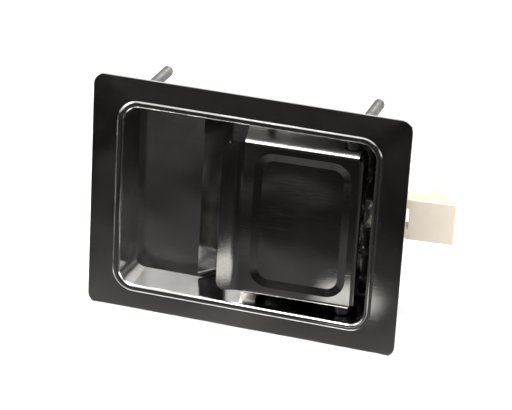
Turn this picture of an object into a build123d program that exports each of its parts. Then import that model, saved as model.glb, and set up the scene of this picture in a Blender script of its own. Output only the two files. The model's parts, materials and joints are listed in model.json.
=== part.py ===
"""Paddle latch: a slam latch for an outward-opening door, shut by a sprung nylon bolt.

Frame: X to the right as seen from outside, Y back into the door, Z up.  The origin is the
centre of the stud pattern, in the plane where the flange's outer edge meets the door.
The paddle swings about the vertical pivot rod; its lever draws the bolt towards -X.
"""
import os
from math import atan, cos, radians, sin, tan

from build123d import *

# ---- Pan: flange, rim and the two-level recess (millimetres, degrees) -----------------------
sheet = 1.2                     # stainless sheet of the pan and the paddle
flange_width = 139.7
flange_height = 107.95
flange_corner = 5.0
flange_rise = 0.9               # the bevel, from the flange's outer edge to the bead
bead_rise = 0.6                 # raised bead round the opening
bead_width = 2.9
bead_slope = 0.9                # width of the bead's outer slope
rim_bend = 1.6                  # front radius from the bead into the recess
opening_width = 111.2
opening_height = 82.9
opening_corner = 7.0
wall_draft = 7.0                # every recess wall leans inwards by this much
bend_inside = 1.0               # smallest inside radius of a bend
pocket_depth = 13.8             # finger pocket's floor, from the door face
well_depth = 22.8               # floor behind the paddle, from the door face
slope_left = -24.3              # where the pocket's floor turns down
slope_right = -14.7             # where the slope meets the well's floor
floor_radius = 2.5              # between the floors and the walls

# ---- Paddle ---------------------------------------------------------------------------------
paddle_proud = 0.4              # paddle's face in front of the flange's edge, at the pivot
paddle_left = -1.0              # where the top and bottom flanges start
paddle_side_gap = 5.4           # from the opening's right edge to the paddle
paddle_end_gap = 6.1            # from the opening's top or bottom edge to the paddle
paddle_flange_depth = 18.0
paddle_end_depth = 9.5          # right-hand flange, which folds round the pivot
paddle_end_slant = 2.9          # the flanges grow this much longer towards the back
paddle_rake = 2.0               # shut paddle leans out at its free end
lip_inset = 0.95                # lip's ends inside the paddle's top and bottom
lip_end = -9.8
lip_bend = 8.0                  # front radius of the flare
lip_angle = 28.0
lip_corner = 4.5
dish_depth = 0.8
dish_margin = 4.5               # from the face's edges to the dish
dish_slope = 3.5                # width of the dish's sloping border
dish_corner = 5.0
relief_radius = 1.3             # holes where two bends meet

# ---- Pivot ----------------------------------------------------------------------------------
pivot_inset = 6.2               # from the paddle's right edge to the pivot
pivot_behind_face = 8.0
rod_radius = 2.38
rod_head_radius = 3.4
rod_head_thick = 0.8
rod_tail = 0.3                  # rod beyond the lower wall's outside
rod_chamfer = 0.4
running_gap = 0.05              # radial, rod in bush
hole_gap = 0.1                  # radial, rod in a sheet-metal hole
bush_wall = 1.4
bush_flange = 1.7               # how far the bush's flange reaches beyond its barrel
bush_flange_thick = 1.0
bush_proud = 0.2                # barrel beyond the paddle flange's outside
spacer_wall = 0.8
clip_radius = 4.2
clip_thick = 0.6
clip_groove = 1.9               # rod's radius at the bottom of the clip's groove
clip_mouth = 3.0                # width of the clip's open side
swing = 35.0                    # paddle's travel from shut to fully pulled

# ---- Lever ----------------------------------------------------------------------------------
lever_sheet = 2.0
lever_gap = 5.0                 # between the two arms
lever_reach = 23.8              # pivot to drive pin
lever_lead = 8.0                # drive pin's angle past straight back, paddle shut
lever_pad_start = 4.0           # pivot to the pad's right edge
lever_pad_width = 26.0
lever_pad_height = 28.0
lever_boss_radius = 4.6
lever_tip_radius = 2.2
lever_blade_radius = 3.0
drive_pin_radius = 3.0
drive_pin_neck = 1.5
free_play = 0.5                 # drive pin to bolt, paddle shut
pin_clearance = 0.4             # drive pin to the guide behind it, at its deepest
pad_corner = 3.0
pad_notch = 9.0                 # cut in the pad between the arms, for the paddle's spring
arm_root_left = 16.0            # the arms leave the pad this far from its right edge
arm_root_right = 8.0
window_ends = 1.8               # room for the lever in the well's floor, along its swing
window_sides = 2.0
window_corner = 2.0

# ---- Bolt -----------------------------------------------------------------------------------
bolt_reach = 16.35              # bolt's tip beyond the flange's right edge
bolt_start = 20.0               # pivot to the bolt's left end
bolt_height = 19.05
bolt_thick = 9.0
bolt_head_thick = 16.5
bolt_head_length = 14.35
bolt_ridge = 1.2                # flat on top of the head, before the slam bevel
bolt_nose = 2.6                 # thickness left at the tip
bolt_nose_radius = 1.2
strike_taper_length = 19.2
strike_taper = 2.0              # how far the strike face falls away at the tip
slot_reach = 21.9               # pivot to the slot's right end
slot_height = 10.0
slot_corner = 1.0
bolt_edge = 0.6                 # softened edges of the moulding
slide_gap = 0.3                 # bolt to whatever guides it
spring_bore_radius = 3.4
spring_bore_depth = 15.0

# ---- Bolt housing on the pan's back ---------------------------------------------------------
housing_sheet = 1.2
housing_start = 35.6            # pivot to the housing's left end
housing_length = 47.6
foot_reach = 12.0
foot_corner = 3.0
guide_wall = 1.2
guide_inset = 17.6              # liner's left end inside the housing's
guide_collar = 0.8
bracket_foot = 14.0
bracket_corner = 2.0
rivet_radius = 1.6
rivet_head_radius = 3.0
rivet_head_thick = 0.9
rivet_head_round = 0.7
rivet_tail_radius = 2.4
rivet_tail_round = 0.5
housing_rivet_inset = 9.5       # from the housing's ends

# ---- Springs --------------------------------------------------------------------------------
bolt_spring_radius = 2.6        # to the wire's centre
bolt_spring_wire = 0.8
bolt_spring_turns = 11
guide_rod_radius = 1.6
guide_rod_length = 14.0
guide_rod_chamfer = 0.5
guide_rod_head = 2.6            # radius of its peened head
seat_thick = 0.8
paddle_spring_wire = 1.2
paddle_spring_pitch = 1.35
paddle_spring_turns = 5.25      # the quarter turn sets the legs square to each other
paddle_spring_start = 6.0       # height of the lowest turn
paddle_spring_leg = 16.0

# ---- Studs and bumpers ----------------------------------------------------------------------
stud_radius = 2.413
stud_length = 31.75
stud_spacing = 95.25            # both ways
stud_foot_radius = 2.8
stud_foot_top = 0.25            # weld foot ends this far short of the door face
stud_chamfer = 0.6
bumper_radius = 2.2
bumper_offset = 4.0             # from the paddle's left edge to the bumper's centre
bumper_inset = 0.9              # bumper's centre inside the paddle flange's middle
bumper_round = 0.8
rest_gap = 0.3                  # a part at rest on another body
overcut = 1.0                   # how far a cutter runs past what it cuts

# ---- Places that follow from the sizes above ------------------------------------------------
bead_foot = -sheet - flange_rise
rim_face = bead_foot - bead_rise
paddle_face = -sheet - paddle_proud
paddle_right = opening_width / 2 - paddle_side_gap
paddle_height = opening_height - 2 * paddle_end_gap
lip_height = paddle_height - 2 * lip_inset
pivot_x = paddle_right - pivot_inset
pivot_y = paddle_face + pivot_behind_face
bumper_x = paddle_left + bumper_offset
lever_pad_right = pivot_x - lever_pad_start
lever_pad_left = lever_pad_right - lever_pad_width
bolt_tip = flange_width / 2 + bolt_reach
bolt_left = pivot_x - bolt_start
bolt_head_left = bolt_tip - bolt_head_length
strike_taper_start = bolt_tip - strike_taper_length
slot_right = pivot_x + slot_reach
housing_left = pivot_x - housing_start
housing_right = housing_left + housing_length
guide_left = housing_left + guide_inset
pan_back = well_depth + sheet
bush_radius = rod_radius + running_gap + bush_wall
lever_face = paddle_face + dish_depth + sheet
lever_width = lever_gap + 2 * lever_sheet
drive_pin_x = pivot_x + lever_reach * sin(radians(lever_lead))
drive_pin_y = pivot_y + lever_reach * cos(radians(lever_lead))
slot_left = drive_pin_x - drive_pin_radius - free_play
bolt_front = pan_back + slide_gap
bolt_back = bolt_front + bolt_thick
guide_half_height = bolt_height / 2 + slide_gap
housing_half_height = guide_half_height + guide_wall
pin_deepest = pivot_y + lever_reach + drive_pin_radius
guide_floor = max(bolt_back + slide_gap, pin_deepest + pin_clearance)
housing_floor = guide_floor + guide_wall
housing_outer_half = housing_half_height + housing_sheet
bore_y = bolt_front + bolt_thick / 2
bore_end = bolt_left + spring_bore_depth
rivet_z = housing_outer_half + foot_reach / 2
wire_half = paddle_spring_wire / 2
lever_back_gap = pivot_y - lever_face - lever_sheet - running_gap
grow = sheet / cos(radians(wall_draft))
pivot_axis = Axis((pivot_x, pivot_y, 0), (0, 0, 1))


# ---- Small tools ----------------------------------------------------------------------------
def front_plane(y):
    """Plane facing the viewer at depth y, with local x to the right and local y up."""
    return Plane(origin=(0, y, 0), x_dir=(1, 0, 0), z_dir=(0, -1, 0))


def slab(sketch, y_front, y_back):
    """Prism of a front-view sketch between two depths."""
    return extrude(front_plane(y_front) * sketch, amount=y_front - y_back)


def top_prism(sketch, z_low, z_high):
    """Prism of a plan-view (X, Y) sketch between two heights."""
    return extrude(Pos(0, 0, z_low) * sketch, amount=z_high - z_low)


def block(x0, x1, y0, y1, z0, z1):
    """Box between two corners."""
    return Pos((x0 + x1) / 2, (y0 + y1) / 2, (z0 + z1) / 2) * Box(x1 - x0, y1 - y0, z1 - z0)


def rod_z(x, y, radius, z0, z1):
    """Round bar along Z."""
    return Pos(x, y, (z0 + z1) / 2) * Cylinder(radius, z1 - z0)


def rod_y(x, z, radius, y0, y1):
    """Round bar along Y."""
    return Pos(x, (y0 + y1) / 2, z) * Rot(90, 0, 0) * Cylinder(radius, y1 - y0)


def rod_x(y, z, radius, x0, x1):
    """Round bar along X."""
    return Pos((x0 + x1) / 2, y, z) * Rot(0, 90, 0) * Cylinder(radius, x1 - x0)


def wall_z(y, offset=0.0):
    """Half height of the recess at depth y, moved outwards by offset."""
    return opening_height / 2 + offset - (y - rim_face) * tan(radians(wall_draft))


def raked(shape):
    """Turn a piece of the paddle from its square pose to the shut pose."""
    return shape.rotate(pivot_axis, paddle_rake)


def edges_at(shape, axis, value, tolerance=0.01):
    """Edges whose whole length lies at one coordinate."""
    return shape.edges().filter_by_position(axis, value - tolerance, value + tolerance)


def edges_inside(shape, y, width):
    """Edges at depth y that lie within half a width of the middle, such as one of two rings."""
    return [e for e in edges_at(shape, Axis.Y, y)
            if max(abs(e.bounding_box().min.X), abs(e.bounding_box().max.X)) < width / 2]


def long_edges(shape, y):
    """Edges at depth y that run along X, such as a channel's two corners."""
    return [e for e in shape.edges().filter_by(Axis.X) if abs(e.center().Y - y) < running_gap]


# ---- Pan ------------------------------------------------------------------------------------
def bead_outline(inset=0.0):
    """Foot of the bead round the opening, moved inwards by inset."""
    reach = bead_width - inset
    return RectangleRounded(
        opening_width + 2 * reach, opening_height + 2 * reach, opening_corner + reach)


def flange_form(y_edge, inset=0.0):
    """Solid shallow pyramid with the bead on top; its outer edge's front lies at y_edge."""
    outer = front_plane(y_edge) * RectangleRounded(flange_width, flange_height, flange_corner)
    bead_plane = front_plane(y_edge - flange_rise)
    crest = front_plane(y_edge - flange_rise - bead_rise) * bead_outline(inset + bead_slope)
    bevel = loft([outer, bead_plane * bead_outline()], ruled=True)
    return bevel + loft([bead_plane * bead_outline(inset), crest], ruled=True)


def flange_plate():
    """Bevelled flange, one sheet thick, before the recess is cut."""
    edge = slab(RectangleRounded(flange_width, flange_height, flange_corner), -sheet, 0)
    return flange_form(-sheet) + edge - flange_form(0, sheet / 3)


def recess_form(offset, y_front, floor_shift):
    """Solid of the recess: drafted walls, pocket, slope and well, grown by a sheet or not."""
    lean = (y_front - rim_face) * tan(radians(wall_draft))
    mouth = RectangleRounded(
        opening_width + 2 * (offset - lean),
        opening_height + 2 * (offset - lean),
        opening_corner + offset - lean)
    well = extrude(
        front_plane(y_front) * mouth,
        amount=y_front - well_depth - floor_shift,
        taper=wall_draft)
    slope = atan((well_depth - pocket_depth) / (slope_right - slope_left))
    corner_shift = floor_shift * tan(slope / 2)
    behind = well_depth + 2 * sheet
    step = Polygon(
        (-opening_width, pocket_depth + floor_shift),
        (slope_left - corner_shift, pocket_depth + floor_shift),
        (slope_right - corner_shift, well_depth + floor_shift),
        (slope_right - corner_shift, behind),
        (-opening_width, behind),
        align=None)
    half = opening_height
    return well - top_prism(step, -half, half)


def softened_recess(offset, y_front, floor_shift, radius):
    """Recess form with its floor corners and its two slope bends rounded."""
    form = recess_form(offset, y_front, floor_shift)
    floors = [
        edge for edge in form.edges()
        if edge.center().Y > pocket_depth - floor_shift
        and edge.bounding_box().min.Y > y_front + floor_radius
    ]
    return fillet(floors, radius)


def recess_pan():
    """The one-piece pressing: flange, rim, pocket, well and its holes."""
    rim_back = rim_face + sheet
    shell = flange_plate() + softened_recess(grow, rim_back, sheet, floor_radius + sheet)
    pan = shell - softened_recess(0, rim_face, 0, floor_radius)
    pan = fillet(edges_inside(pan, rim_face, opening_width + bead_width), rim_bend)
    pan -= rivet_holes(housing_rivet_places() + bracket_rivet_places())
    pan -= slab(lever_window(), well_depth - overcut, pan_back + overcut)
    return pan - rod_z(pivot_x, pivot_y, rod_radius + hole_gap, -opening_height, opening_height)


def lever_span(y, angle):
    """X of the lever's centre line at depth y, with the lever at an angle past straight back."""
    return pivot_x + (y - pivot_y) * tan(radians(angle))


def lever_window():
    """Outline of the hole that the lever swings in."""
    room = lever_tip_radius + window_ends
    left = lever_span(pan_back, lever_lead - swing) - room
    right = lever_span(pan_back, lever_lead) + room
    height = lever_width + 2 * window_sides
    return Pos((left + right) / 2, 0) * RectangleRounded(right - left, height, window_corner)


# ---- Paddle ---------------------------------------------------------------------------------
def paddle_cup():
    """Face with its top, bottom and right flanges, open to the left and back."""
    half = paddle_height / 2
    back = paddle_face + paddle_flange_depth
    left = paddle_left - paddle_end_slant
    outer = block(left, paddle_right, paddle_face, back, -half, half)
    front = [e for e in edges_at(outer, Axis.Y, paddle_face) if e.center().X > left + overcut]
    outer = fillet(front, bend_inside + sheet)
    inner = block(
        left - sheet, paddle_right - sheet, paddle_face + sheet, back + sheet,
        sheet - half, half - sheet)
    front = edges_at(inner, Axis.Y, paddle_face + sheet)
    front = [e for e in front if e.center().X > left + overcut]
    inner = fillet(front, bend_inside)
    cup = outer - inner
    slant = Polygon(
        (left - overcut, paddle_face - overcut),
        (paddle_left, paddle_face - overcut),
        (paddle_left, paddle_face),
        (left, back),
        (left - overcut, back),
        align=None)
    cup -= top_prism(slant, -half, half)
    return cup - block(
        paddle_right - 2 * sheet, paddle_right + sheet, paddle_face + paddle_end_depth, back,
        -half, half)


def lip():
    """Flared finger lip: a strip bent outwards, with rounded outer corners."""
    turn = radians(lip_angle)
    start = paddle_left
    face = paddle_face
    arc_front = (start - lip_bend * sin(turn), face - lip_bend * (1 - cos(turn)))
    outer_bend = lip_bend + sheet
    arc_back = (start - outer_bend * sin(turn), face - lip_bend + outer_bend * cos(turn))
    run = (arc_front[0] - lip_end) / cos(turn)
    step = (-run * cos(turn), -run * sin(turn))
    half_turn = turn / 2
    mid_front = (start - lip_bend * sin(half_turn), face - lip_bend * (1 - cos(half_turn)))
    mid_back = (
        start - outer_bend * sin(half_turn),
        face - lip_bend + outer_bend * cos(half_turn))
    tip_front = (arc_front[0] + step[0], arc_front[1] + step[1])
    tip_back = (arc_back[0] + step[0], arc_back[1] + step[1])
    root = paddle_left + 2 * sheet
    outline = [
        Line((root, face), (start, face)),
        ThreePointArc((start, face), mid_front, arc_front),
        Line(arc_front, tip_front),
        Line(tip_front, tip_back),
        Line(tip_back, arc_back),
        ThreePointArc(arc_back, mid_back, (start, face + sheet)),
        Line((start, face + sheet), (root, face + sheet)),
        Line((root, face + sheet), (root, face)),
    ]
    strip = top_prism(make_face(outline), -lip_height / 2, lip_height / 2)
    width = root - lip_end + lip_corner
    frame = Pos(lip_end + width / 2, 0) * RectangleRounded(width, lip_height, lip_corner)
    return strip & slab(frame, face - 2 * lip_bend, face + 2 * lip_bend)


def dish(y_front, shrink):
    """Shallow tray form pressed into the face."""
    width = paddle_right - paddle_left - 2 * dish_margin - shrink
    height = paddle_height - 2 * dish_margin - shrink
    centre = Pos((paddle_left + paddle_right) / 2, 0)
    mouth = front_plane(y_front) * centre * RectangleRounded(width, height, dish_corner + dish_slope)
    floor = front_plane(y_front + dish_depth) * centre * RectangleRounded(
        width - 2 * dish_slope, height - 2 * dish_slope, dish_corner)
    return loft([mouth, floor], ruled=True)


def paddle():
    """The one-piece paddle pressing."""
    half = paddle_height / 2
    body = paddle_cup() + lip()
    body = body + dish(paddle_face + sheet, 0) - dish(paddle_face, 0)
    for side in (-1, 1):
        corner = (paddle_right - bend_inside, side * (half - bend_inside))
        body -= rod_y(
            corner[0], corner[1], relief_radius, paddle_face - overcut, lever_face + overcut)
        body -= block(
            corner[0] - relief_radius, paddle_right + overcut,
            paddle_face + sheet, paddle_face + paddle_flange_depth + overcut,
            *sorted((side * (half - sheet - bend_inside), side * (half + overcut))))
    body -= rod_z(pivot_x, pivot_y, bush_radius, -half - overcut, half + overcut)
    return raked(body)


# ---- Pivot ----------------------------------------------------------------------------------
def clip_span():
    """Lowest and highest point of the clip, close under the upper wall's inside."""
    high = wall_z(pivot_y + clip_radius) - running_gap
    return high - clip_thick, high


def pivot_rod():
    """Headed rod; the head sits on the upper wall's outside, with the clip just inside."""
    top = wall_z(pivot_y - rod_head_radius, grow)
    bottom = -wall_z(pivot_y - rod_radius, grow) - rod_tail
    rod = rod_z(pivot_x, pivot_y, rod_radius, bottom, top + rod_head_thick / 2)
    rod = chamfer(rod.edges().sort_by(Axis.Z)[0], rod_chamfer)
    head = rod_z(pivot_x, pivot_y, rod_head_radius, top, top + rod_head_thick)
    head = fillet(head.edges().sort_by(Axis.Z)[-1], rod_head_thick / 2)
    low, high = clip_span()
    ring = rod_z(pivot_x, pivot_y, rod_head_radius, low, high)
    return rod + head - (ring - rod_z(pivot_x, pivot_y, clip_groove, low, high))


def pivot_retainer():
    """Open clip in the rod's groove, which keeps the rod from rising."""
    low, high = clip_span()
    disc = rod_z(pivot_x, pivot_y, clip_radius, low, high)
    disc -= rod_z(pivot_x, pivot_y, clip_groove, low - overcut, high + overcut)
    return disc - block(
        pivot_x - clip_mouth / 2, pivot_x + clip_mouth / 2, pivot_y, pivot_y + clip_radius + overcut,
        low - overcut, high + overcut)


def pivot_bushes():
    """Flanged nylon bushes in the paddle's two flanges."""
    seat = paddle_height / 2
    inner = seat - sheet - bush_flange_thick
    hole = rod_z(pivot_x, pivot_y, rod_radius + running_gap, -seat - overcut, seat + overcut)
    bushes = []
    for side in (-1, 1):
        low, high = sorted((side * inner, side * (seat + bush_proud)))
        barrel = rod_z(pivot_x, pivot_y, bush_radius, low, high)
        low, high = sorted((side * inner, side * (seat - sheet)))
        collar = rod_z(pivot_x, pivot_y, bush_radius + bush_flange, low, high)
        bushes.append(barrel + collar - hole)
    return Compound(children=bushes)


def pivot_spacers():
    """Tubes on the rod between the bushes and the pan's walls."""
    radius = rod_radius + hole_gap + spacer_wall
    inner = paddle_height / 2 + bush_proud + rest_gap
    tubes = []
    for low, high in (
            (inner, clip_span()[0] - running_gap),
            (running_gap - wall_z(pivot_y + radius), -inner)):
        tube = rod_z(pivot_x, pivot_y, radius, low, high)
        bore = rod_z(pivot_x, pivot_y, rod_radius + hole_gap, low - overcut, high + overcut)
        tubes.append(tube - bore)
    return Compound(children=tubes)


# ---- Lever ----------------------------------------------------------------------------------
def lever_arm_outline():
    """Plan of one arm, from the pad past the pivot to the drive pin, paddle square."""
    angle = radians(lever_lead + paddle_rake)
    tip = (pivot_x + lever_reach * sin(angle), pivot_y + lever_reach * cos(angle))
    boss = Pos(pivot_x, pivot_y) * Circle(lever_boss_radius)
    heel = Pos(pivot_x, pivot_y) * Circle(lever_blade_radius)
    nose = Pos(*tip) * Circle(lever_tip_radius)
    blade = make_hull(heel.edges() + nose.edges())
    root = Polygon(
        (lever_pad_right - arm_root_left, lever_face),
        (pivot_x, lever_face),
        (pivot_x, pivot_y + lever_boss_radius),
        (lever_pad_right - arm_root_right, pivot_y),
        align=None)
    return blade + boss + root, tip


def paddle_lever():
    """Folded lever: a pad welded to the paddle's back and two arms cut and bent from it."""
    outline, tip = lever_arm_outline()
    half = lever_pad_height / 2
    pad = slab(
        Pos((lever_pad_left + lever_pad_right) / 2, 0)
        * RectangleRounded(lever_pad_right - lever_pad_left, lever_pad_height, pad_corner),
        lever_face, lever_face + lever_sheet)
    pad -= block(
        lever_pad_right - pad_notch, lever_pad_right + overcut,
        lever_face - overcut, lever_face + lever_sheet + overcut, -lever_gap / 2, lever_gap / 2)
    lever = pad
    for side in (-1, 1):
        low, high = sorted((side * lever_gap / 2, side * lever_width / 2))
        lever += top_prism(outline, low, high)
    lever -= rod_z(pivot_x, pivot_y, rod_radius + hole_gap, -half, half)
    lever -= rod_z(tip[0], tip[1], drive_pin_neck, -half, half)
    return raked(lever)


def drive_pin():
    """Shouldered pin riveted across the lever's arms; its barrel pushes the bolt."""
    barrel = rod_z(drive_pin_x, drive_pin_y, drive_pin_radius, -lever_gap / 2, lever_gap / 2)
    neck = rod_z(drive_pin_x, drive_pin_y, drive_pin_neck, -lever_width / 2, lever_width / 2)
    return barrel + neck


# ---- Bolt -----------------------------------------------------------------------------------
def bolt_outline():
    """Plan of the bolt: shank, thicker head, slam bevel at the back, tapered strike face."""
    head_back = bolt_front + bolt_head_thick
    tip_front = bolt_front + strike_taper
    return Polygon(
        (bolt_left, bolt_front),
        (strike_taper_start, bolt_front),
        (bolt_tip, tip_front),
        (bolt_tip, tip_front + bolt_nose),
        (bolt_head_left + bolt_ridge, head_back),
        (bolt_head_left, head_back),
        (bolt_head_left, bolt_back),
        (bolt_left, bolt_back),
        align=None)


def slam_bolt():
    """Nylon bolt with the lever's slot through it and the spring's bore in its left end."""
    half = bolt_height / 2
    bolt = top_prism(bolt_outline(), -half, half)
    nose = [e for e in bolt.edges().filter_by(Axis.Z) if e.center().X > bolt_tip - bolt_edge]
    bolt = fillet(nose, bolt_nose_radius)
    rims = edges_at(bolt, Axis.Z, half) + edges_at(bolt, Axis.Z, -half)
    bolt = chamfer(rims, bolt_edge)
    slot = RectangleRounded(slot_right - slot_left, slot_height, slot_corner)
    centre = Pos((slot_left + slot_right) / 2, 0)
    bolt -= slab(centre * slot, bolt_front - overcut, bolt_back + overcut)
    return bolt - rod_x(bore_y, 0, spring_bore_radius, bolt_left - overcut, bore_end)


# ---- Housing --------------------------------------------------------------------------------
def housing_rivet_places():
    """Front-view places of the four rivets that hold the housing."""
    ends = (housing_left + housing_rivet_inset, housing_right - housing_rivet_inset)
    return [(x, side * rivet_z) for x in ends for side in (-1, 1)]


def bracket_rivet_places():
    """Front-view places of the two rivets that hold the spring bracket."""
    x = housing_left - housing_sheet - bracket_foot / 2
    return [(x, side * housing_half_height / 2) for side in (-1, 1)]


def rivet_holes(places):
    """Cutters for rivet holes through the well's floor and the foot behind it."""
    back = pan_back + housing_sheet + overcut
    return [rod_y(x, z, rivet_radius, well_depth - overcut, back) for x, z in places]


def bolt_housing():
    """Folded channel with two feet, open to the right for the bolt."""
    length = housing_right - housing_left
    middle = (housing_left + housing_right) / 2
    reach = housing_outer_half + foot_reach
    outer = block(
        housing_left, housing_right, pan_back, housing_floor + housing_sheet,
        -housing_outer_half, housing_outer_half)
    outer = fillet(long_edges(outer, housing_floor + housing_sheet), bend_inside + housing_sheet)
    inner = block(
        housing_left - overcut, housing_right + overcut, pan_back - overcut, housing_floor,
        -housing_half_height, housing_half_height)
    inner = fillet(long_edges(inner, housing_floor), bend_inside)
    feet = slab(
        Pos(middle, 0) * RectangleRounded(length, 2 * reach, foot_corner),
        pan_back, pan_back + housing_sheet)
    return outer + feet - inner - rivet_holes(housing_rivet_places())


def bolt_guide():
    """Acetal liner: a channel in the housing with a collar that covers its mouth."""
    mouth = housing_right + guide_collar
    inner = block(
        guide_left - overcut, mouth + overcut, pan_back - overcut, guide_floor,
        -guide_half_height, guide_half_height)
    outer = block(
        guide_left, mouth, pan_back, housing_floor, -housing_half_height, housing_half_height)
    outer = fillet(long_edges(outer, housing_floor), bend_inside)
    collar = block(
        housing_right, mouth, pan_back, housing_floor + housing_sheet,
        -housing_outer_half, housing_outer_half)
    return outer + collar - inner


def spring_bracket():
    """Angle that the bolt's spring pushes against."""
    half = housing_half_height - slide_gap
    right = housing_left
    left = right - housing_sheet
    wall = block(left, right, pan_back, housing_floor, -half, half)
    foot = slab(
        Pos(right - (bracket_foot + housing_sheet) / 2, 0)
        * RectangleRounded(bracket_foot + housing_sheet, 2 * half, bracket_corner),
        pan_back, pan_back + housing_sheet)
    rod_hole = rod_x(bore_y, 0, guide_rod_radius, left - overcut, right + overcut)
    return wall + foot - rod_hole - rivet_holes(bracket_rivet_places())


def rivets(places):
    """Domed rivets through the well's floor and a foot."""
    made = []
    for x, z in places:
        shank = rod_y(x, z, rivet_radius, well_depth, pan_back + housing_sheet)
        head = rod_y(x, z, rivet_head_radius, well_depth - rivet_head_thick, well_depth)
        head = fillet(head.edges().sort_by(Axis.Y)[0], rivet_head_round)
        back = pan_back + housing_sheet
        tail = rod_y(x, z, rivet_tail_radius, back, back + rivet_head_thick)
        tail = fillet(tail.edges().sort_by(Axis.Y)[-1], rivet_tail_round)
        made.append(shank + head + tail)
    return Compound(children=made)


# ---- Springs --------------------------------------------------------------------------------
def spring_guide_rod():
    """Rod peened into the bracket, inside the bolt's spring."""
    right = housing_left + guide_rod_length
    rod = rod_x(bore_y, 0, guide_rod_radius, housing_left - housing_sheet, right)
    rod = chamfer(rod.edges().sort_by(Axis.X)[-1], guide_rod_chamfer)
    head = rod_x(
        bore_y, 0, guide_rod_head, housing_left - 2 * housing_sheet,
        housing_left - housing_sheet)
    return rod + head


def bolt_spring():
    """Compression spring from the bracket into the bolt's bore."""
    start = housing_left + bolt_spring_wire / 2 + running_gap
    length = bore_end - seat_thick - bolt_spring_wire - 2 * running_gap - housing_left
    pitch = length / bolt_spring_turns
    path = Helix(pitch, length, bolt_spring_radius, center=(start, bore_y, 0), direction=(1, 0, 0))
    section = Plane(origin=path @ 0, z_dir=path % 0) * Circle(bolt_spring_wire / 2)
    return sweep(section, path=path)


def spring_seat():
    """Washer at the bottom of the bolt's bore."""
    left = bore_end - seat_thick
    washer = rod_x(bore_y, 0, spring_bore_radius - hole_gap, left, bore_end)
    return washer - rod_x(bore_y, 0, guide_rod_radius, left - overcut, bore_end + overcut)


def paddle_spring():
    """Torsion spring round the rod; one leg on the well's floor, one behind the paddle."""
    height = paddle_spring_turns * paddle_spring_pitch
    radius = lever_back_gap - wire_half
    path = Pos(pivot_x, pivot_y, paddle_spring_start) * Rot(0, 0, -90) * Helix(
        paddle_spring_pitch, height, radius)
    coil = sweep(Plane(origin=path @ 0, z_dir=path % 0) * Circle(wire_half), path=path)
    face_leg = rod_x(
        pivot_y - radius, paddle_spring_start, wire_half, pivot_x - paddle_spring_leg, pivot_x)
    floor_leg = rod_y(
        pivot_x + radius, paddle_spring_start + height, wire_half, pivot_y, well_depth)
    return coil + face_leg + floor_leg


# ---- Studs and bumpers ----------------------------------------------------------------------
def mounting_studs(pan):
    """Weld studs on the flange's back; their feet follow its slope."""
    made = []
    for x in (-stud_spacing / 2, stud_spacing / 2):
        for z in (-stud_spacing / 2, stud_spacing / 2):
            shank = rod_y(x, z, stud_radius, -flange_rise, stud_length)
            shank = chamfer(shank.edges().sort_by(Axis.Y)[-1], stud_chamfer)
            foot = rod_y(x, z, stud_foot_radius, -flange_rise, -stud_foot_top)
            made.append(shank + foot - pan)
    return Compound(children=made)


def paddle_bumpers():
    """Rubber stops on the well's floor under the paddle's flanges."""
    z = paddle_height / 2 - sheet / 2 - bumper_inset
    square_edge = paddle_face + paddle_flange_depth
    lift = (pivot_x - bumper_x - bumper_radius) * tan(radians(paddle_rake))
    top = square_edge - lift + rest_gap
    made = []
    for side in (-1, 1):
        stop = rod_y(bumper_x, side * z, bumper_radius, top, well_depth)
        made.append(fillet(stop.edges().sort_by(Axis.Y)[0], bumper_round))
    return Compound(children=made)


def main():
    """Build every piece and write one STEP file for each node."""
    os.makedirs("parts", exist_ok=True)
    pan = recess_pan()
    pieces = {
        "recess_pan": pan,
        "mounting_studs": mounting_studs(pan),
        "paddle": paddle(),
        "paddle_lever": paddle_lever(),
        "drive_pin": drive_pin(),
        "paddle_bumpers": paddle_bumpers(),
        "paddle_spring": paddle_spring(),
        "pivot_rod": pivot_rod(),
        "pivot_retainer": pivot_retainer(),
        "pivot_bushes": pivot_bushes(),
        "pivot_spacers": pivot_spacers(),
        "slam_bolt": slam_bolt(),
        "bolt_housing": bolt_housing(),
        "bolt_guide": bolt_guide(),
        "housing_rivets": rivets(housing_rivet_places()),
        "spring_bracket": spring_bracket(),
        "bracket_rivets": rivets(bracket_rivet_places()),
        "spring_guide_rod": spring_guide_rod(),
        "bolt_spring": bolt_spring(),
        "spring_seat": spring_seat(),
    }
    for name, shape in pieces.items():
        export_step(shape, f"parts/{name}.step")


main()
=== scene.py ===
import json
import math

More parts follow.
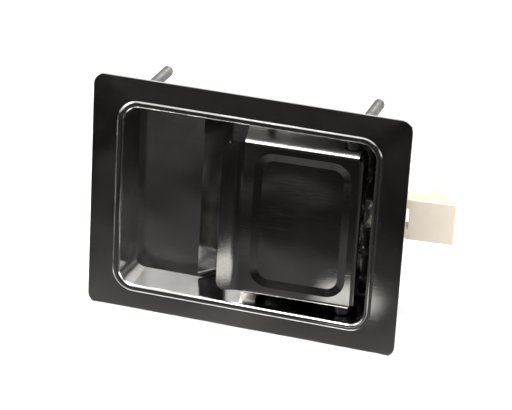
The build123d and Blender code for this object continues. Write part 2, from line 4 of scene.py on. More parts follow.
import bmesh
import bpy
from bpy.props import FloatProperty, FloatVectorProperty, IntProperty, PointerProperty
from mathutils import Euler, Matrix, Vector


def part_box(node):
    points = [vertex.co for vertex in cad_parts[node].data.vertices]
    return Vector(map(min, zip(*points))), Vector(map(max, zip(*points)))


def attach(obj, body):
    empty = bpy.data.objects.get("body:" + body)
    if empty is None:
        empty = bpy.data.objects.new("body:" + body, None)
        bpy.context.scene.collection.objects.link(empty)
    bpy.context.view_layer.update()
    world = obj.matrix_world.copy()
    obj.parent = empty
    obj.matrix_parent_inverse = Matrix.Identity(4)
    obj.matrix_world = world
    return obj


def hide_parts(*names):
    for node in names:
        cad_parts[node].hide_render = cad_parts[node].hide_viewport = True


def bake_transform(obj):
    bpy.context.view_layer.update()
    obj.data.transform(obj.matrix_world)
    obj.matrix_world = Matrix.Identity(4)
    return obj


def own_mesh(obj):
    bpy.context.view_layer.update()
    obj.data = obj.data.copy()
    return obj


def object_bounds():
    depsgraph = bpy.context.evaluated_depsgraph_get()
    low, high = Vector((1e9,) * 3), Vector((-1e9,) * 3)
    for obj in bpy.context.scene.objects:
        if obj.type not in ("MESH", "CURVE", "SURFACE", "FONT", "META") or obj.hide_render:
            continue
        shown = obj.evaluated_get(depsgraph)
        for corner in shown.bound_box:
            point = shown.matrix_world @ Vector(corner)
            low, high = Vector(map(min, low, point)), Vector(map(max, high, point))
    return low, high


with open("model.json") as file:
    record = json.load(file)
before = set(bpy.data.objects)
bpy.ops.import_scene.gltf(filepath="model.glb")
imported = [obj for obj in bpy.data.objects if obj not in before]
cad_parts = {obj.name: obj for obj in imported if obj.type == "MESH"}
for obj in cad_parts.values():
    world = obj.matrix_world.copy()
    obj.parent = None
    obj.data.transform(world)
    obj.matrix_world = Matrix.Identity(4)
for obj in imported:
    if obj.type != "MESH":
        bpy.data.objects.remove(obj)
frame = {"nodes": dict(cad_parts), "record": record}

bl_info = {
    "name": "Paddle Latch Finishes",
    "version": (1, 0, 0),
    "blender": (4, 5, 0),
    "location": "View3D > Sidebar > Paddle Latch",
    "description": "Finishes, threads and springs for a recessed paddle latch, with its studio",
    "category": "Object",
}

CAD_BOX = [list(map(float, corner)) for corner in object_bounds()]
STUDS_LOW, STUDS_HIGH = (Vector(corner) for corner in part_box("mounting_studs"))
SPRING_LOW, SPRING_HIGH = (Vector(corner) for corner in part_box("bolt_spring"))
STUD_MOUNT = frame["record"]["mounts"][0]["dims"]
MILLIMETRE = 0.001
MERGE_DISTANCE = 1e-6

# Ranges over which the pan's painted shade fades in, in the narrow gaps beside the paddle.
GAP_SHADE_RIGHT = (0.0490, 0.0520)
GAP_SHADE_LOW = (-0.0330, -0.0350)
GAP_SHADE_LOW_LEFT = (-0.0040, 0.0040)
GAP_SHADE_DEPTH = (0.0005, 0.0040)

# The studio's surroundings.
SENSOR_WIDTH = 36.0
FLOOR_REACH = 6.0
FLOOR_DROP = 0.0005             # floor below the latch
FLOOR_GLOW = 0.45
FLAG_DROP = 0.0003              # floor flag below the latch, so just above the floor
FLAG_NEAR = -0.003              # edge of the floor flag next to the latch
FLAG_REACH = 1.5
FRONT_FLAG_TOP = 1.05
BACK_FLAG_TOP = 0.22

# What each CAD node is made of.
NODE_FINISHES = {
    "recess_pan": "polished_stainless",
    "paddle": "polished_stainless_paddle",
    "paddle_lever": "zinc_plate",
    "bolt_housing": "zinc_plate",
    "spring_bracket": "zinc_plate",
    "drive_pin": "steel_pin",
    "pivot_rod": "steel_pin",
    "housing_rivets": "steel_pin",
    "bracket_rivets": "steel_pin",
    "spring_guide_rod": "steel_pin",
    "spring_seat": "steel_pin",
    "paddle_spring": "spring_wire",
    "pivot_retainer": "spring_wire",
    "slam_bolt": "natural_nylon",
    "pivot_bushes": "black_acetal",
    "pivot_spacers": "black_acetal",
    "bolt_guide": "black_acetal",
    "paddle_bumpers": "black_rubber",
}


# ---- Sizes and colours that a user would change ----------------------------------------------
class LatchFinishSettings(bpy.types.PropertyGroup):
    """Colours and wear of the latch's materials."""

    stainless_colour: FloatVectorProperty(
        name="Stainless colour", description="Reflected colour of the polished sheet",
        subtype="COLOR", size=3, min=0, max=1, default=(0.74, 0.73, 0.71))
    stainless_roughness: FloatProperty(
        name="Stainless roughness", description="Roughness of clean polished sheet",
        subtype="FACTOR", min=0, max=1, default=0.10)
    scratch_depth: FloatProperty(
        name="Scratch depth", description="Strength of the fine polishing scratches",
        subtype="FACTOR", min=0, max=1, default=0.06)
    zinc_colour: FloatVectorProperty(
        name="Zinc colour", description="Colour of the zinc-plated pieces",
        subtype="COLOR", size=3, min=0, max=1, default=(0.55, 0.56, 0.57))
    steel_colour: FloatVectorProperty(
        name="Steel colour", description="Colour of pins, rivets and studs",
        subtype="COLOR", size=3, min=0, max=1, default=(0.50, 0.49, 0.47))
    nylon_colour: FloatVectorProperty(
        name="Nylon colour", description="Colour of the natural nylon bolt",
        subtype="COLOR", size=3, min=0, max=1, default=(0.80, 0.71, 0.59))
    acetal_colour: FloatVectorProperty(
        name="Acetal colour", description="Colour of the black liner and spacers",
        subtype="COLOR", size=3, min=0, max=1, default=(0.018, 0.018, 0.019))


class LatchHardwareSettings(bpy.types.PropertyGroup):
    """Sizes of the threads and of the bolt's spring."""

    thread_pitch: FloatProperty(
        name="Thread pitch", description="Advance of the stud's thread in one turn",
        subtype="DISTANCE", unit="LENGTH", default=0.00106)
    thread_depth: FloatProperty(
        name="Thread depth", description="From the thread's crest to its root",
        subtype="DISTANCE", unit="LENGTH", default=0.00055)
    thread_start: FloatProperty(
        name="Thread start", description="Plain length of the stud at the door face",
        subtype="DISTANCE", unit="LENGTH", default=0.0016)
    weld_foot_radius: FloatProperty(
        name="Weld foot radius", description="Radius of the stud's welded foot",
        subtype="DISTANCE", unit="LENGTH", default=0.0028)
    weld_foot_drop: FloatProperty(
        name="Weld foot drop", description="From the door face to the top of the welded foot",
        subtype="DISTANCE", unit="LENGTH", default=0.00025)
    spring_wire: FloatProperty(
        name="Spring wire", description="Wire diameter of the bolt's spring",
        subtype="DISTANCE", unit="LENGTH", default=0.0008)
    spring_turns: IntProperty(
        name="Spring turns", description="Turns of the bolt's spring", min=3, default=11)
    torsion_wire: FloatProperty(
        name="Torsion wire", description="Wire diameter of the paddle's spring",
        subtype="DISTANCE", unit="LENGTH", default=0.0012)
    spring_travel: FloatProperty(
        name="Spring travel", description="How far the pulled bolt shortens its spring",
        subtype="DISTANCE", unit="LENGTH", default=0.0143)


class LatchStudioSettings(bpy.types.PropertyGroup):
    """Camera, lamps and surroundings."""

    camera_place: FloatVectorProperty(
        name="Camera place", description="Where the camera stands",
        subtype="TRANSLATION", unit="LENGTH", size=3, default=(0.241696, -0.832196, 0.370561))
    camera_turn: FloatVectorProperty(
        name="Camera turn", description="The camera's rotation",
        subtype="EULER", unit="ROTATION", size=3,
        default=tuple(math.radians(a) for a in (67.0799, -3.1157, 17.2220)))
    camera_lens: FloatProperty(
        name="Camera lens", description="Focal length in millimetres on a 36 mm sensor",
        default=155.28)
    overhead_power: FloatProperty(
        name="Overhead power", description="Power of the overhead softbox in watts",
        subtype="POWER", unit="POWER", default=5.2)
    strip_power: FloatProperty(
        name="Strip power", description="Power of the strip lamp on the right in watts",
        subtype="POWER", unit="POWER", default=1.7)
    fill: FloatProperty(
        name="Fill", description="Strength of the even light from all round", min=0, default=0.45)


def settings(group):
    return getattr(bpy.context.scene, group)


# ---- Shader helpers --------------------------------------------------------------------------
class Nodes:
    """Short way to add and join nodes in one tree."""

    def __init__(self, tree):
        self.tree = tree

    def add(self, kind, inputs=None, **values):
        node = self.tree.nodes.new(kind)
        for key, value in values.items():
            setattr(node, key, value)
        for key, value in (inputs or {}).items():
            self.put(node.inputs[key], value)
        return node

    def put(self, socket, value):
        if isinstance(value, bpy.types.NodeSocket):
            self.tree.links.new(value, socket)
        else:
            socket.default_value = value

    def maths(self, operation, a, b):
        node = self.add("ShaderNodeMath", operation=operation)
        self.put(node.inputs[0], a)
        self.put(node.inputs[1], b)
        return node.outputs[0]

    def product(self, first, *others):
        for other in others:
            first = self.maths("MULTIPLY", first, other)
        return first

    def spread(self, value, low, high, out_low=0.0, out_high=1.0):
        node = self.add("ShaderNodeMapRange", {
            "Value": value, "From Min": low, "From Max": high,
            "To Min": out_low, "To Max": out_high})
        return node.outputs["Result"]

    def mixed(self, factor, a, b):
        node = self.add("ShaderNodeMix", data_type="RGBA")
        self.put(node.inputs[0], factor)
        self.put(node.inputs[6], a)
        self.put(node.inputs[7], b)
        return node.outputs[2]


def new_group(name, inputs, outputs):
    """Empty shader node group with float or colour sockets; returns its helper and ends."""
    group = bpy.data.node_groups.new(name, "ShaderNodeTree")
    for label, kind, value in inputs:
        socket = group.interface.new_socket(
            name=label, in_out="INPUT", socket_type=f"NodeSocket{kind}")
        if value is not None:
            socket.default_value = value
    for label, kind in outputs:
        group.interface.new_socket(name=label, in_out="OUTPUT", socket_type=f"NodeSocket{kind}")
    nodes = Nodes(group)
    return group, nodes, nodes.add("NodeGroupInput"), nodes.add("NodeGroupOutput")


def surface_wear_group():
    """Fine scratches in three directions and soft smudges, from object coordinates."""
    group, nodes, start, end = new_group(
        "surface_wear",
        [("Vector", "Vector", None), ("Smudge Scale", "Float", 60.0)],
        [("Scratches", "Float"), ("Smudges", "Float")])
    scratches = None
    for turn, stretch, detail in (
            ((0.15, 0.40, 0.05), (40, 900, 2600), 3.0),
            ((1.10, -0.35, 0.60), (60, 1500, 1200), 2.0),
            ((-0.50, 1.25, -0.30), (50, 2200, 1700), 2.0)):
        mapping = nodes.add("ShaderNodeMapping", {
            "Vector": start.outputs["Vector"], "Rotation": turn, "Scale": stretch})
        noise = nodes.add("ShaderNodeTexNoise", {
            "Vector": mapping.outputs[0], "Scale": 1.0, "Detail": detail, "Roughness": 0.6})
        line = nodes.spread(noise.outputs[0], 0.64, 0.80)
        scratches = line if scratches is None else nodes.maths("MAXIMUM", scratches, line)
    smudge = nodes.add("ShaderNodeTexNoise", {
        "Vector": start.outputs["Vector"], "Scale": start.outputs["Smudge Scale"],
        "Detail": 4.0, "Roughness": 0.55, "Distortion": 0.6})
    nodes.put(end.inputs["Scratches"], scratches)
    nodes.put(end.inputs["Smudges"], nodes.spread(smudge.outputs[0], 0.35, 0.72))
    return group


def grain_group():
    """Fine and coarse grain of moulded or plated surfaces."""
    group, nodes, start, end = new_group(
        "surface_grain",
        [("Vector", "Vector", None), ("Fine Scale", "Float", 2500.0),
         ("Blotch Scale", "Float", 90.0)],
        [("Fine", "Float"), ("Blotches", "Float")])
    fine = nodes.add("ShaderNodeTexNoise", {
        "Vector": start.outputs["Vector"], "Scale": start.outputs["Fine Scale"], "Detail": 3.0})
    blotch = nodes.add("ShaderNodeTexNoise", {
        "Vector": start.outputs["Vector"], "Scale": start.outputs["Blotch Scale"],
        "Detail": 5.0, "Roughness": 0.6})
    nodes.put(end.inputs["Fine"], fine.outputs[0])
    nodes.put(end.inputs["Blotches"], nodes.spread(blotch.outputs[0], 0.32, 0.70))
    return group


def group_outputs(nodes, name, maker, place):
    """Masks of a shared shader group at a place; the group is made when first needed."""
    group = bpy.data.node_groups.get(name) or maker()
    return nodes.add("ShaderNodeGroup", {"Vector": place}, node_tree=group).outputs


def wear_masks(nodes, place):
    return group_outputs(nodes, "surface_wear", surface_wear_group, place)


def grain_masks(nodes, place):
    return group_outputs(nodes, "surface_grain", grain_group, place)


def cleared_nodes(owner):
    """Helper for the emptied node tree of a material or a world."""
    owner.use_nodes = True
    owner.node_tree.nodes.clear()
    return Nodes(owner.node_tree)


def new_material(name):
    """Material with one Principled shader; returns it, its helper, shader and coordinates."""
    material = bpy.data.materials.new("finish_" + name)
    nodes = cleared_nodes(material)
    shader = nodes.add("ShaderNodeBsdfPrincipled")
    output = nodes.add("ShaderNodeOutputMaterial")
    nodes.put(output.inputs["Surface"], shader.outputs[0])
    place = nodes.add("ShaderNodeTexCoord").outputs["Object"]
    return material, nodes, shader, place


def opaque(colour):
    return (*colour, 1.0)


def shade(colour, factor):
    return opaque([channel * factor for channel in colour])


def painted_gap_shade_mask(nodes, place):
    """Where shade is painted: the narrow gaps to the right of and below the paddle."""
    at = nodes.add("ShaderNodeSeparateXYZ", {"Vector": place}).outputs
    deep = nodes.spread(at["Y"], *GAP_SHADE_DEPTH)
    right = nodes.product(nodes.spread(at["X"], *GAP_SHADE_RIGHT), deep)
    below = nodes.product(
        nodes.spread(at["Z"], *GAP_SHADE_LOW), nodes.spread(at["X"], *GAP_SHADE_LOW_LEFT), deep)
    return nodes.maths("MAXIMUM", right, below)


def polished_stainless(
        name, roughness, scratch_depth, smudge_roughness, satin_above=None, gap_shaded=False):
    """Mirror-polished sheet with fine scratches, smudges and waviness; satin above a height."""
    look = settings("latch_finish")
    material, nodes, shader, place = new_material(name)
    wear = wear_masks(nodes, place)
    base = opaque(look.stainless_colour)
    worn = nodes.mixed(wear["Smudges"], base, shade(look.stainless_colour, 0.93))
    # Painted shade: near-black colour in the narrow gaps to the right of and below the paddle.
    if gap_shaded:
        gap_shade = nodes.product(painted_gap_shade_mask(nodes, place), 0.94)
        worn = nodes.mixed(gap_shade, worn, opaque((0.02, 0.02, 0.02)))
    nodes.put(shader.inputs["Base Color"], worn)
    shader.inputs["Metallic"].default_value = 1.0
    streaky = nodes.product(wear["Scratches"], 0.10)
    smudged = nodes.product(wear["Smudges"], smudge_roughness)
    rough = nodes.maths("ADD", nodes.maths("ADD", streaky, smudged), roughness)
    if satin_above is not None:
        height = nodes.add("ShaderNodeSeparateXYZ", {"Vector": place}).outputs["Z"]
        satin = nodes.spread(height, satin_above - 0.0003, satin_above, 0, 0.34)
        rough = nodes.maths("ADD", rough, satin)
    nodes.put(shader.inputs["Roughness"], rough)
    wave = nodes.add("ShaderNodeTexNoise", {"Vector": place, "Scale": 28.0, "Detail": 1.0})
    fine = nodes.add("ShaderNodeBump", {
        "Strength": scratch_depth, "Distance": 0.0002, "Height": wear["Scratches"]})
    broad = nodes.add("ShaderNodeBump", {
        "Strength": 0.5, "Distance": 0.0016, "Height": wave.outputs[0],
        "Normal": fine.outputs[0]})
    nodes.put(shader.inputs["Normal"], broad.outputs[0])
    return material


def put_grain(nodes, shader, grain, roughness, rougher, bump):
    """Roughness that follows the blotches, and the fine grain in relief."""
    nodes.put(shader.inputs["Roughness"], nodes.spread(
        grain["Blotches"], 0, 1, roughness, roughness + rougher))
    lift = nodes.add("ShaderNodeBump", {
        "Strength": bump, "Distance": 0.0001, "Height": grain["Fine"]})
    nodes.put(shader.inputs["Normal"], lift.outputs[0])


def grained_metal(name, colour, roughness, tint, bump):
    """Plated or drawn steel: blotchy tone, fine grain and light scratches."""
    material, nodes, shader, place = new_material(name)
    grain = grain_masks(nodes, place)
    wear = wear_masks(nodes, place)
    toned = nodes.mixed(grain["Blotches"], opaque(colour), shade(colour, tint))
    bright = nodes.mixed(nodes.product(wear["Scratches"], 0.35), toned, shade(colour, 1.25))
    nodes.put(shader.inputs["Base Color"], bright)
    shader.inputs["Metallic"].default_value = 1.0
    put_grain(nodes, shader, grain, roughness, 0.14, bump)
    return material


def moulded_plastic(name, colour, roughness, tint, bump, milky=0.0):
    """Moulded plastic: faint mottling, fine grain and rubbed marks."""
    material, nodes, shader, place = new_material(name)
    grain = grain_masks(nodes, place)
    wear = wear_masks(nodes, place)
    toned = nodes.mixed(grain["Blotches"], opaque(colour), shade(colour, tint))
    rubbed = nodes.mixed(nodes.product(wear["Smudges"], 0.25), toned, shade(colour, 1.06))
    nodes.put(shader.inputs["Base Color"], rubbed)
    shader.inputs["Subsurface Weight"].default_value = milky
    shader.inputs["Subsurface Scale"].default_value = 0.002
    shader.inputs["Subsurface Radius"].default_value = (1.0, 0.8, 0.6)
    put_grain(nodes, shader, grain, roughness, 0.12, bump)
    return material


def make_finishes():
    """Every material of the latch, by name."""
    look = settings("latch_finish")
    stainless = look.stainless_roughness
    depth = look.scratch_depth
    return {
        # The pan's sheet gets painted shade in the gaps beside the paddle.
        "polished_stainless": polished_stainless(
            "polished_stainless", stainless, depth, smudge_roughness=0.10, gap_shaded=True),
        "polished_stainless_paddle": polished_stainless(
            "polished_stainless_paddle", stainless * 0.8, depth, smudge_roughness=0.07,
            satin_above=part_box("paddle")[1][2] - 0.0002),
        "zinc_plate": grained_metal(
            "zinc_plate", look.zinc_colour, roughness=0.30, tint=0.82, bump=0.15),
        "steel_pin": grained_metal(
            "steel_pin", look.steel_colour, roughness=0.22, tint=0.80, bump=0.10),
        "threaded_steel": grained_metal(
            "threaded_steel", shade(look.steel_colour, 0.5)[:3], roughness=0.36, tint=0.65,
            bump=0.12),
        "spring_wire": grained_metal(
            "spring_wire", shade(look.steel_colour, 0.75)[:3], roughness=0.20, tint=0.75,
            bump=0.08),
        "natural_nylon": moulded_plastic(
            "natural_nylon", look.nylon_colour, roughness=0.42, tint=0.95, bump=0.06,
            milky=0.15),
        "black_acetal": moulded_plastic(
            "black_acetal", look.acetal_colour, roughness=0.34, tint=0.75, bump=0.10),
        "black_rubber": moulded_plastic(
            "black_rubber", (0.025, 0.025, 0.025), roughness=0.62, tint=0.7, bump=0.30),
    }


# ---- Geometry Nodes helpers ------------------------------------------------------------------
def new_geometry_tree(name, inputs):
    """Empty geometry tree with named inputs; returns the tree, helper, start and output."""
    tree = bpy.data.node_groups.new(name, "GeometryNodeTree")
    tree.interface.new_socket(name="Geometry", in_out="OUTPUT", socket_type="NodeSocketGeometry")
    for label, kind, value in inputs:
        socket = tree.interface.new_socket(
            name=label, in_out="INPUT", socket_type=f"NodeSocket{kind}")
        socket.default_value = value
    nodes = Nodes(tree)
    return tree, nodes, nodes.add("NodeGroupInput"), nodes.add("NodeGroupOutput")


def finish_tree(nodes, geometry, material, end):
    """Ends a tree in Realize Instances and Set Material."""
    whole = nodes.add("GeometryNodeRealizeInstances", {"Geometry": geometry})
    dressed = nodes.add("GeometryNodeSetMaterial", {"Geometry": whole.outputs[0]})
    dressed.inputs["Material"].default_value = material
    nodes.put(end.inputs[0], dressed.outputs[0])


def grown_object(name, tree, values):
    """Plain mesh object from a geometry tree, its inputs set by socket identifier."""
    carrier = bpy.data.objects.new(name + "_grown", bpy.data.meshes.new(name + "_seed"))
    bpy.context.collection.objects.link(carrier)
    modifier = carrier.modifiers.new("tree", "NODES")
    modifier.node_group = tree
    for item in tree.interface.items_tree:
        if item.in_out == "INPUT" and item.name in values:
            modifier[item.identifier] = values[item.name]
    carrier.update_tag()
    graph = bpy.context.evaluated_depsgraph_get()
    mesh = bpy.data.meshes.new_from_object(carrier.evaluated_get(graph))
    carrier.modifiers.remove(modifier)
    bpy.data.objects.remove(carrier)
    mesh.name = name
    for polygon in mesh.polygons:
        polygon.use_smooth = True
    made = bpy.data.objects.new(name, mesh)
    bpy.context.collection.objects.link(made)
    if not mesh.polygons:
        raise RuntimeError(f"{name} came out empty")
    return made


def stud_tree(material):
    """One threaded weld stud along +Y, repeated at the corners of the mount's rectangle."""
    tree, nodes, start, end = new_geometry_tree("threaded_studs", [
        ("Radius", "Float", 0.0024), ("Depth", "Float", 0.0005), ("Pitch", "Float", 0.001),
        ("Length", "Float", 0.03), ("Thread Start", "Float", 0.0016),
        ("Foot Radius", "Float", 0.0028), ("Foot Low", "Float", -0.0008),
        ("Foot Top", "Float", -0.0003), ("Spacing X", "Float", 0.09),
        ("Spacing Z", "Float", 0.09)])
    given = start.outputs
    root = nodes.maths("SUBTRACT", given["Radius"], given["Depth"])
    low = given["Foot Low"]

    def bar(radius, bottom, top, sides=40):
        """Cylinder along local Z between two heights."""
        height = nodes.maths("SUBTRACT", top, bottom)
        cylinder = nodes.add("GeometryNodeMeshCylinder", {
            "Vertices": sides, "Radius": radius, "Depth": height})
        middle = nodes.maths("MULTIPLY", nodes.maths("ADD", top, bottom), 0.5)
        offset = nodes.add("ShaderNodeCombineXYZ", {"Z": middle})
        moved = nodes.add("GeometryNodeTransform", {
            "Geometry": cylinder.outputs["Mesh"], "Translation": offset.outputs[0]})
        return moved.outputs[0]

    run = nodes.maths("SUBTRACT", nodes.maths("SUBTRACT", given["Length"], given["Pitch"]),
                      given["Thread Start"])
    turns = nodes.maths("DIVIDE", run, given["Pitch"])
    middle_radius = nodes.maths(
        "SUBTRACT", given["Radius"], nodes.product(given["Depth"], 0.5))
    helix = nodes.add("GeometryNodeCurveSpiral", {
        "Resolution": 24, "Rotations": turns, "Start Radius": root, "End Radius": root,
        "Height": run})
    lifted = nodes.add("GeometryNodeTransform", {
        "Geometry": helix.outputs[0],
        "Translation": nodes.add("ShaderNodeCombineXYZ", {"Z": given["Thread Start"]}).outputs[0]})
    ridge = nodes.add("GeometryNodeCurvePrimitiveCircle", {
        "Resolution": 4, "Radius": given["Depth"]})
    thread = nodes.add("GeometryNodeCurveToMesh", {
        "Curve": lifted.outputs[0], "Profile Curve": ridge.outputs[0], "Fill Caps": True})
    joined = nodes.add("GeometryNodeJoinGeometry")
    for piece in (
            bar(root, low, given["Length"]),
            bar(middle_radius, low, given["Thread Start"]),
            bar(given["Foot Radius"], low, given["Foot Top"]),
            thread.outputs[0]):
        nodes.tree.links.new(piece, joined.inputs[0])
    upright = nodes.add("GeometryNodeTransform", {"Geometry": joined.outputs[0]})
    upright.inputs["Rotation"].default_value = (-math.pi / 2, 0, 0)
    grid = nodes.add("GeometryNodeMeshGrid", {
        "Size X": given["Spacing X"], "Size Y": given["Spacing Z"],
        "Vertices X": 2, "Vertices Y": 2})
    standing = nodes.add("GeometryNodeTransform", {"Geometry": grid.outputs["Mesh"]})
    standing.inputs["Rotation"].default_value = (math.pi / 2, 0, 0)
    placed = nodes.add("GeometryNodeInstanceOnPoints", {
        "Points": standing.outputs[0], "Instance": upright.outputs[0]})
    finish_tree(nodes, placed.outputs[0], material, end)
    return tree


def spring_tree(material):
    """Compression spring along +X from one given point."""
    tree, nodes, start, end = new_geometry_tree("bolt_spring_coil", [
        ("Radius", "Float", 0.0026), ("Wire", "Float", 0.0008), ("Turns", "Float", 11.0),
        ("Length", "Float", 0.028), ("Start", "Vector", (0, 0, 0))])
    given = start.outputs
    helix = nodes.add("GeometryNodeCurveSpiral", {
        "Resolution": 32, "Rotations": given["Turns"], "Start Radius": given["Radius"],
        "End Radius": given["Radius"], "Height": given["Length"]})
    circle = nodes.add("GeometryNodeCurvePrimitiveCircle", {
        "Resolution": 12, "Radius": nodes.maths("MULTIPLY", given["Wire"], 0.5)})
    coil = nodes.add("GeometryNodeCurveToMesh", {
        "Curve": helix.outputs[0], "Profile Curve": circle.outputs[0], "Fill Caps": True})
    laid = nodes.add("GeometryNodeTransform", {
        "Geometry": coil.outputs[0], "Translation": given["Start"]})
    laid.inputs["Rotation"].default_value = (0, math.pi / 2, 0)
    finish_tree(nodes, laid.outputs[0], material, end)
    return tree


# ---- Operators -------------------------------------------------------------------------------
class LATCH_OT_dress_nodes(bpy.types.Operator):
    """Give every rigid piece of the latch its finish"""

    bl_idname = "latch.dress_nodes"
    bl_label = "Dress rigid pieces"

    def execute(self, context):
        finishes = make_finishes()
        for name, finish in NODE_FINISHES.items():
            slots = frame["nodes"][name].material_slots
            if not slots:
                raise RuntimeError(f"{name} has no material slot")
            for slot in slots:
                slot.material = finishes[finish]
        return {"FINISHED"}


class LATCH_OT_make_studs(bpy.types.Operator):
    """Make the four threaded weld studs"""

    bl_idname = "latch.make_studs"
    bl_label = "Make threaded studs"

    def execute(self, context):
        sizes = settings("latch_hardware")
        tree = stud_tree(bpy.data.materials["finish_threaded_steel"])
        studs = grown_object("threaded_studs", tree, {
            "Radius": STUD_MOUNT["stud_r_mm"] * MILLIMETRE,
            "Depth": sizes.thread_depth,
            "Pitch": sizes.thread_pitch,
            "Length": STUDS_HIGH.y,
            "Thread Start": sizes.thread_start,
            "Foot Radius": sizes.weld_foot_radius,
            "Foot Low": STUDS_LOW.y,
            "Foot Top": -sizes.weld_foot_drop,
            "Spacing X": STUD_MOUNT["spacing_x_mm"] * MILLIMETRE,
            "Spacing Z": STUD_MOUNT["spacing_y_mm"] * MILLIMETRE})
        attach(studs, "pan")
        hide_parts("mounting_studs")
        return {"FINISHED"}


class LATCH_OT_make_bolt_spring(bpy.types.Operator):
    """Make the bolt's spring as a coil over the length of the CAD's spring"""

    bl_idname = "latch.make_bolt_spring"
    bl_label = "Make bolt spring"

    def execute(self, context):
        sizes = settings("latch_hardware")
        wire = sizes.spring_wire
        length = SPRING_HIGH.x - SPRING_LOW.x
        middle = (SPRING_LOW + SPRING_HIGH) / 2
        tree = spring_tree(bpy.data.materials["finish_spring_wire"])
        spring = grown_object("compression_spring", tree, {
            "Radius": (SPRING_HIGH.z - SPRING_LOW.z - wire) / 2,
            "Wire": wire,
            "Turns": float(sizes.spring_turns),
            "Length": length - wire,
            "Start": (SPRING_LOW.x + wire / 2, middle.y, middle.z)})
        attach(spring, "pan")
        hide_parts("bolt_spring")
        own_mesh(spring)
        return {"FINISHED"}


class LATCH_OT_make_paddle_spring(bpy.types.Operator):
    """Make the paddle's spring from a copy of the CAD's spring mesh, its doubled points merged"""

    bl_idname = "latch.make_paddle_spring"
    bl_label = "Make paddle spring"

    def execute(self, context):
        mesh = frame["nodes"]["paddle_spring"].data.copy()
        mesh.name = "torsion_spring"
        solid = bmesh.new()
        solid.from_mesh(mesh)
        bmesh.ops.remove_doubles(solid, verts=solid.verts, dist=MERGE_DISTANCE)
        solid.to_mesh(mesh)
        solid.free()
        spring = bpy.data.objects.new("torsion_spring", mesh)
        context.collection.objects.link(spring)
        wire = settings("latch_hardware").torsion_wire
        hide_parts("paddle_spring")
        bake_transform(spring)
        return {"FINISHED"}


class LATCH_OT_make_studio(bpy.types.Operator):
    """Set up the floor, the lamps, the dark flags and the camera"""

    bl_idname = "latch.make_studio"
    bl_label = "Make studio"

    def execute(self, context):
        studio = settings("latch_studio")
        make_floor()
        make_world(studio.fill)
        make_lamps(studio)
        make_flags()
        camera = bpy.data.cameras.new("studio_camera")
        camera.lens = studio.camera_lens
        camera.sensor_width = SENSOR_WIDTH
        camera.clip_start = 0.05
        stand = bpy.data.objects.new("studio_camera", camera)
        stand.location = studio.camera_place
        stand.rotation_euler = Euler(studio.camera_turn)
        context.collection.objects.link(stand)
        context.scene.camera = stand
        context.scene.view_settings.view_transform = "Standard"
        return {"FINISHED"}


# ---- Studio ----------------------------------------------------------------------------------
def plate(name, corners, material):
    """Flat four-cornered piece of the studio."""
    mesh = bpy.data.meshes.new(name)
    mesh.from_pydata([Vector(corner) for corner in corners], [], [(0, 1, 2, 3)])
    made = bpy.data.objects.new(name, mesh)
    made.data.materials.append(material)
    bpy.context.collection.objects.link(made)
    return made


def seen_directly(nodes):
    """One for camera, glossy and transmission rays, and nought for diffuse light."""
    path = nodes.add("ShaderNodeLightPath").outputs
    seen = nodes.maths("MAXIMUM", path["Is Camera Ray"], path["Is Glossy Ray"])
    return nodes.maths("MAXIMUM", seen, path["Is Transmission Ray"])


def make_floor():
    """Pale floor that shows white and keeps the latch's soft shadow."""
    material = bpy.data.materials.new("studio_floor")
    nodes = cleared_nodes(material)
    matt = nodes.add("ShaderNodeBsdfDiffuse")
    matt.inputs["Color"].default_value = (0.8, 0.8, 0.8, 1)
    glow = nodes.add("ShaderNodeEmission", {
        "Strength": nodes.product(seen_directly(nodes), FLOOR_GLOW)})
    both = nodes.add("ShaderNodeAddShader")
    nodes.put(both.inputs[0], matt.outputs[0])
    nodes.put(both.inputs[1], glow.outputs[0])
    output = nodes.add("ShaderNodeOutputMaterial")
    nodes.put(output.inputs["Surface"], both.outputs[0])
    reach = FLOOR_REACH
    level = CAD_BOX[0][2] - FLOOR_DROP
    plate("studio_floor", [
        (-reach, -reach, level), (reach, -reach, level), (reach, reach, level),
        (-reach, reach, level)], material)


def make_world(fill):
    """Even light all round; white where it is seen directly or in a reflection."""
    world = bpy.data.worlds.new("studio_world")
    nodes = cleared_nodes(world)
    strength = nodes.spread(seen_directly(nodes), 0, 1, fill, 1.0)
    glow = nodes.add("ShaderNodeBackground", {"Strength": strength})
    glow.inputs["Color"].default_value = (1, 1, 1, 1)
    output = nodes.add("ShaderNodeOutputWorld")
    nodes.put(output.inputs["Surface"], glow.outputs[0])
    bpy.context.scene.world = world


def make_lamps(studio):
    """Large soft lamp above the front, a strip on the right and a weak one on the left."""
    for name, place, target, size, power in (
            ("overhead_softbox", (0.05, -0.22, 0.62), (0, 0, 0), (0.55, 0.30),
             studio.overhead_power),
            ("right_strip", (0.60, -0.10, 0.10), (0, 0, 0), (0.06, 0.50), studio.strip_power),
            ("left_fill", (-0.55, -0.30, 0.30), (0, 0, 0), (0.25, 0.25),
             studio.strip_power * 0.5)):
        lamp = bpy.data.lights.new(name, "AREA")
        lamp.shape = "RECTANGLE"
        lamp.size, lamp.size_y = size
        lamp.energy = power
        stand = bpy.data.objects.new(name, lamp)
        stand.location = place
        aim = Vector(target) - Vector(place)
        stand.rotation_euler = aim.to_track_quat("-Z", "Y").to_euler()
        bpy.context.collection.objects.link(stand)


def window(nodes, value, rise, fall):
    """Fades in over one range and out over a later one."""
    return nodes.product(nodes.spread(value, *rise), nodes.spread(value, fall[1], fall[0]))


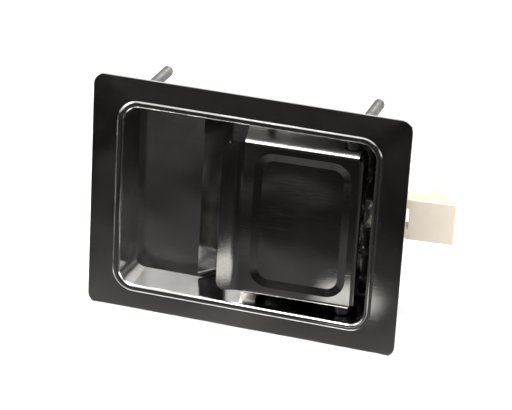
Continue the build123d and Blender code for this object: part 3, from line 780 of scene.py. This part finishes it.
def flag_material():
    """Nearly black, with faint warm patches, a paler edge at the latch and one bright spot."""
    material = bpy.data.materials.new("studio_flag")
    nodes = cleared_nodes(material)
    place = nodes.add("ShaderNodeTexCoord").outputs["Object"]
    noise = nodes.add("ShaderNodeTexNoise", {
        "Vector": place, "Scale": 9.0, "Detail": 1.0, "Distortion": 1.2})
    at = nodes.add("ShaderNodeSeparateXYZ", {"Vector": place}).outputs
    patches = nodes.spread(noise.outputs[0], 0.48, 0.70, 0.010, 0.060)
    edge = nodes.spread(at["Y"], -0.13, 0.0, 0.0, 0.065)
    spot = nodes.product(
        window(nodes, at["X"], rise=(0.022, 0.032), fall=(0.052, 0.062)),
        window(nodes, at["Y"], rise=(-0.070, -0.062), fall=(-0.046, -0.036)),
        0.8)
    glow = nodes.add("ShaderNodeEmission", {
        "Strength": nodes.maths("ADD", patches, nodes.maths("ADD", edge, spot))})
    glow.inputs["Color"].default_value = (1.0, 0.97, 0.93, 1)
    output = nodes.add("ShaderNodeOutputMaterial")
    nodes.put(output.inputs["Surface"], glow.outputs[0])
    return material


def make_flags():
    """Dark flags that only polished metal sees: below, in front of and behind the latch."""
    material = flag_material()
    low = CAD_BOX[0][2] - FLAG_DROP
    left, right = -FLAG_REACH, FLAG_REACH
    front, back = -FLAG_REACH, FLAG_REACH
    for name, corners in (
            ("floor_flag", [(left, front, low), (right, front, low),
                            (right, FLAG_NEAR, low), (left, FLAG_NEAR, low)]),
            ("front_flag", [(left, front, low), (right, front, low),
                            (right, front, FRONT_FLAG_TOP), (left, front, FRONT_FLAG_TOP)]),
            ("back_flag", [(right, back, low), (left, back, low),
                           (left, back, BACK_FLAG_TOP), (right, back, BACK_FLAG_TOP)])):
        flag = plate(name, corners, material)
        flag.visible_camera = False
        flag.visible_diffuse = False
        flag.visible_shadow = False
        flag.visible_transmission = False


# ---- Panel and registration ------------------------------------------------------------------
class LATCH_PT_panel(bpy.types.Panel):
    """Paddle latch tools"""

    bl_idname = "LATCH_PT_panel"
    bl_label = "Paddle Latch"
    bl_space_type = "VIEW_3D"
    bl_region_type = "UI"
    bl_category = "Paddle Latch"

    def draw(self, context):
        for operator in OPERATORS:
            self.layout.operator(operator.bl_idname)
        for group in SETTINGS:
            for key in SETTINGS[group].__annotations__:
                self.layout.prop(settings(group), key)


OPERATORS = (
    LATCH_OT_dress_nodes, LATCH_OT_make_studs, LATCH_OT_make_bolt_spring,
    LATCH_OT_make_paddle_spring, LATCH_OT_make_studio)
SETTINGS = {
    "latch_finish": LatchFinishSettings,
    "latch_hardware": LatchHardwareSettings,
    "latch_studio": LatchStudioSettings,
}


def register():
    for group in SETTINGS.values():
        bpy.utils.register_class(group)
    for kind in (*OPERATORS, LATCH_PT_panel):
        bpy.utils.register_class(kind)
    for name, group in SETTINGS.items():
        setattr(bpy.types.Scene, name, PointerProperty(type=group))


def unregister():
    for name in SETTINGS:
        delattr(bpy.types.Scene, name)
    for kind in (LATCH_PT_panel, *reversed(OPERATORS), *SETTINGS.values()):
        bpy.utils.unregister_class(kind)


def main():
    register()
    bpy.ops.latch.dress_nodes()
    bpy.ops.latch.make_studs()
    bpy.ops.latch.make_bolt_spring()
    bpy.ops.latch.make_paddle_spring()
    bpy.ops.latch.make_studio()


if __name__ == "__main__":
    main()
